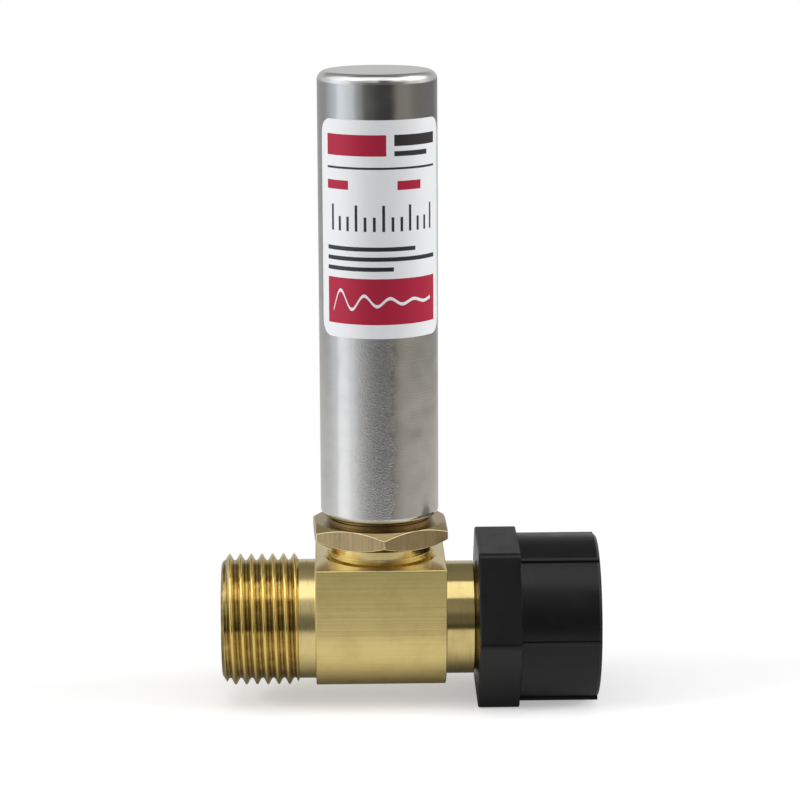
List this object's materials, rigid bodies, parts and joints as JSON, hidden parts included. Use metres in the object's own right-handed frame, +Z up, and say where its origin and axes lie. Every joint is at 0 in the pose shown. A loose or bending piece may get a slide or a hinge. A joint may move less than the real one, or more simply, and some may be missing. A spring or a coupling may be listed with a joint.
{
  "type": "water hammer arrestor",
  "caption": "Water hammer arrestor: a steel air chamber with a sliding piston on a brass tee that joins a male hose thread to a black swivel hose nut.",
  "frame": {"origin": "centre of the swivel nut's mouth, on the axis of the run", "axes": "+X out of the swivel nut's mouth along the run, +Z up along the chamber tube, -Y towards the label's side"},
  "size_m": [0.0768, 0.0376, 0.1297],
  "materials": {
    "brass_tee": "machined, bright",
    "brass_adapter": "machined, bright",
    "stainless_tube": "satin, fine turned lines",
    "label_film": "satin film",
    "seal_rubber": "smooth",
    "piston_resin": "moulded",
    "black_resin": "moulded, satin",
    "spring_wire": "drawn wire",
    "washer_rubber": "moulded, matt"
  },
  "bodies": {
    "tee_and_chamber": {"tee_body": "brass_tee", "hex_adapter": "brass_adapter", "chamber_tube": "stainless_tube", "chamber_label": "label_film", "adapter_ring": "seal_rubber", "nut_retaining_ring": "spring_wire"},
    "piston_unit": {"piston": "piston_resin", "piston_ring_lower": "seal_rubber", "piston_ring_upper": "seal_rubber"},
    "nut_unit": {"swivel_nut": "black_resin", "hose_washer": "washer_rubber"}
  },
  "joints": [
    {"name": "piston_slide", "type": "slide", "parent": "tee_and_chamber", "child": "piston_unit", "axis": [0, 0, 1], "range_m": [0, 0.044], "stiffness_N_per_m": 40, "springref_m": -0.02},
    {"name": "nut_swivel", "type": "hinge", "parent": "tee_and_chamber", "child": "nut_unit", "pos_m": [-0.012, 0, 0], "axis": [1, 0, 0], "continuous": true}
  ]
}
